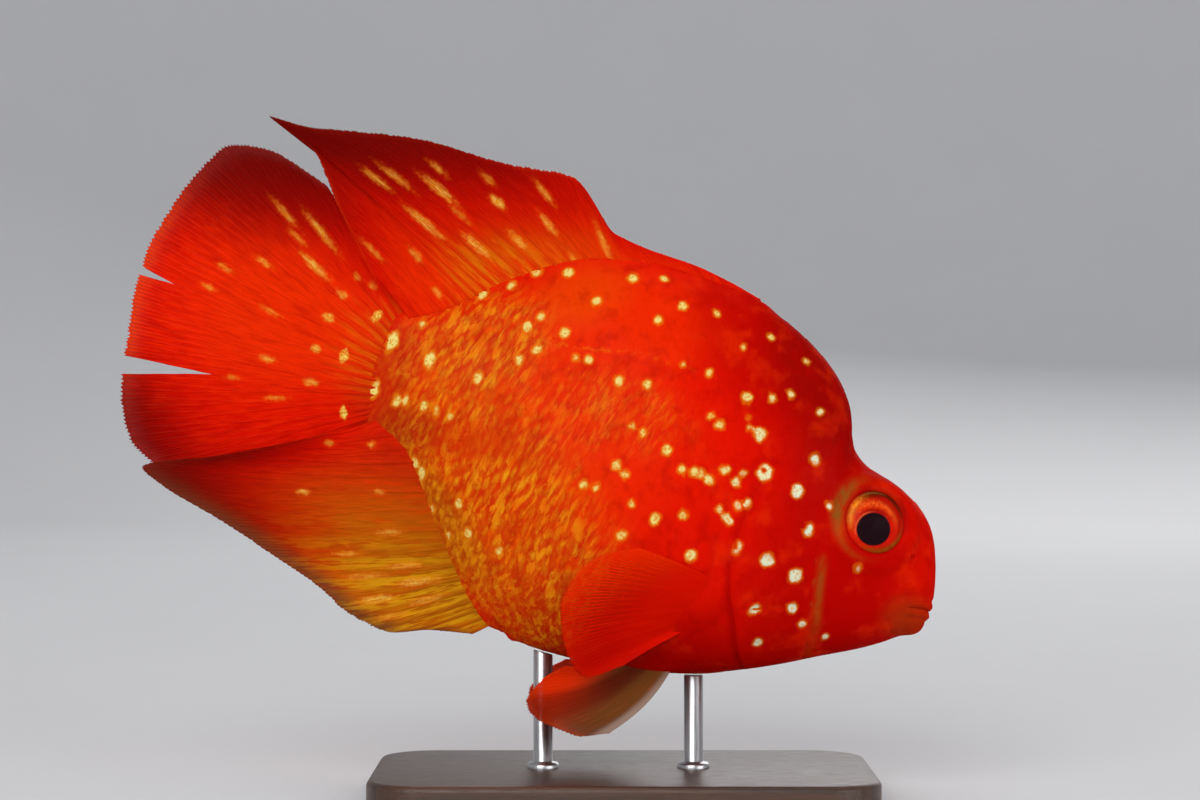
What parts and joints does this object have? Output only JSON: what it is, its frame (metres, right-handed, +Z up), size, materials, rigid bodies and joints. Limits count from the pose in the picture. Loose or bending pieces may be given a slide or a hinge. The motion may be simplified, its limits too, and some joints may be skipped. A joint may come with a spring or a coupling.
{
  "type": "blood parrot cichlid",
  "caption": "Life-size deep-bodied ornamental cichlid swimming nose down on a small display stand, with spread fins and tail, lidless round eyes and a small beak-like mouth.",
  "frame": {"origin": "centre of the whole model's bounding box at its underside, on the surface that the stand's base rests on", "axes": "+Z up, +X towards the fish's head, +Y towards the fish's left side, so the fish's right side faces -Y"},
  "size_m": [0.1278, 0.046, 0.1063],
  "materials": {
    "head_skin": "moist skin, deep red",
    "jaw_skin": "moist skin, orange-brown lips",
    "gill_cover_skin": "moist skin, deep red with pale pearly spots",
    "body_skin": "moist scaled skin, orange-red with golden flecks and pale spots",
    "tail_skin": "moist scaled skin, orange-red with gold",
    "eye": "wet cornea over a black pupil and a red and gold iris",
    "dorsal_fin": "thin rayed membrane, red with pale streaks",
    "caudal_fin": "thin rayed membrane, red with pale streaks",
    "anal_fin": "thin rayed membrane, red, yellow-olive at the front",
    "pectoral_fin": "thin rayed membrane, orange-red",
    "pelvic_fin": "thin rayed membrane, orange with a pale edge",
    "stand_base": "dark stained and waxed",
    "stand_rod": "satin"
  },
  "bodies": {
    "root": {"head": "head_skin", "lower_jaw": "jaw_skin", "gill_cover_left": "gill_cover_skin", "gill_cover_right": "gill_cover_skin", "torso": "body_skin", "tail_stalk": "tail_skin", "eye_left": "eye", "eye_right": "eye", "dorsal_fin": "dorsal_fin", "caudal_fin": "caudal_fin", "anal_fin": "anal_fin", "pectoral_fin_left": "pectoral_fin", "pectoral_fin_right": "pectoral_fin", "pelvic_fin_left": "pelvic_fin", "pelvic_fin_right": "pelvic_fin", "stand_base": "stand_base", "stand_rod_front": "stand_rod", "stand_rod_rear": "stand_rod"}
  },
  "joints": []
}
